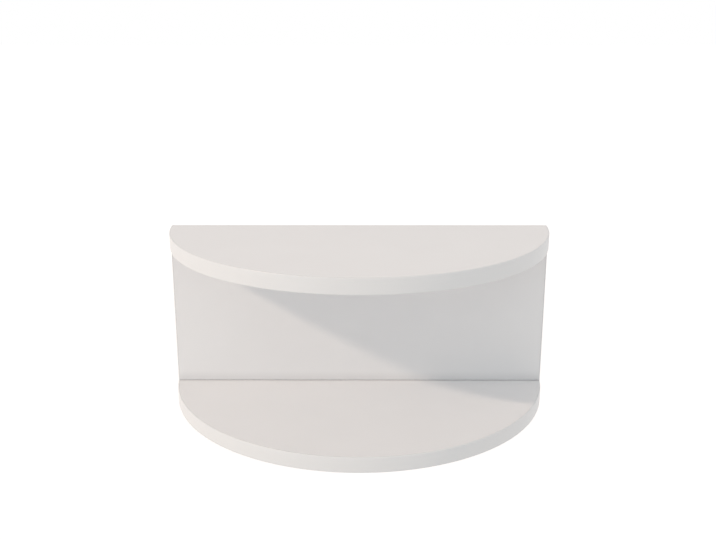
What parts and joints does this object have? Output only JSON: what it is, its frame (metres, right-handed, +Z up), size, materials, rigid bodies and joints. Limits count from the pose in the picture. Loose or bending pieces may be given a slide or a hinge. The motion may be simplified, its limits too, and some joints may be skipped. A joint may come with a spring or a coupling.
{
  "type": "wall-mounted bedside table",
  "caption": "Wall-hung half-round bedside table: white laminated top and shelf joined by a flat back panel, with hidden cam fittings and keyhole hangers in the rear face.",
  "frame": {"origin": "middle of the rear face, the face that lies against the wall", "axes": "+Y out of the rear face towards the wall, so the front faces -Y; +Z up; +X to the right as seen from the front"},
  "size_m": [0.4, 0.195, 0.188],
  "materials": {
    "laminate": "white melamine facing on particle board, satin",
    "edge_band": "white plastic edge band, satin",
    "zinc": "die-cast zinc, matt",
    "steel": "bright zinc plating",
    "beech": "bare beech"
  },
  "bodies": {
    "carcass": {"top_panel": "laminate", "top_edge_band": "edge_band", "top_rear_band": "edge_band", "shelf_panel": "laminate", "shelf_edge_band": "edge_band", "shelf_rear_band": "edge_band", "back_panel": "laminate", "back_band_left": "edge_band", "back_band_right": "edge_band", "top_cam_bolt_left": "steel", "top_cam_bolt_right": "steel", "shelf_cam_bolt_left": "steel", "shelf_cam_bolt_right": "steel", "top_dowel_left": "beech", "top_dowel_right": "beech", "shelf_dowel_left": "beech", "shelf_dowel_right": "beech", "hanger_plate_left": "steel", "hanger_plate_right": "steel", "hanger_screw_left_upper": "steel", "hanger_screw_left_lower": "steel", "hanger_screw_right_upper": "steel", "hanger_screw_right_lower": "steel"},
    "top_left_cam": {"top_cam_lock_left": "zinc"},
    "top_right_cam": {"top_cam_lock_right": "zinc"},
    "shelf_left_cam": {"shelf_cam_lock_left": "zinc"},
    "shelf_right_cam": {"shelf_cam_lock_right": "zinc"}
  },
  "joints": [
    {"name": "top_left_cam_turn", "type": "hinge", "parent": "carcass", "child": "top_left_cam", "pos_m": [-0.11, -0.0003, 0.0537], "axis": [0, 1, 0], "range_deg": [0, 180]},
    {"name": "top_right_cam_turn", "type": "hinge", "parent": "carcass", "child": "top_right_cam", "pos_m": [0.11, -0.0003, 0.0537], "axis": [0, 1, 0], "range_deg": [0, 180]},
    {"name": "shelf_left_cam_turn", "type": "hinge", "parent": "carcass", "child": "shelf_left_cam", "pos_m": [-0.11, -0.0003, -0.0537], "axis": [0, 1, 0], "range_deg": [0, 180]},
    {"name": "shelf_right_cam_turn", "type": "hinge", "parent": "carcass", "child": "shelf_right_cam", "pos_m": [0.11, -0.0003, -0.0537], "axis": [0, 1, 0], "range_deg": [0, 180]}
  ]
}
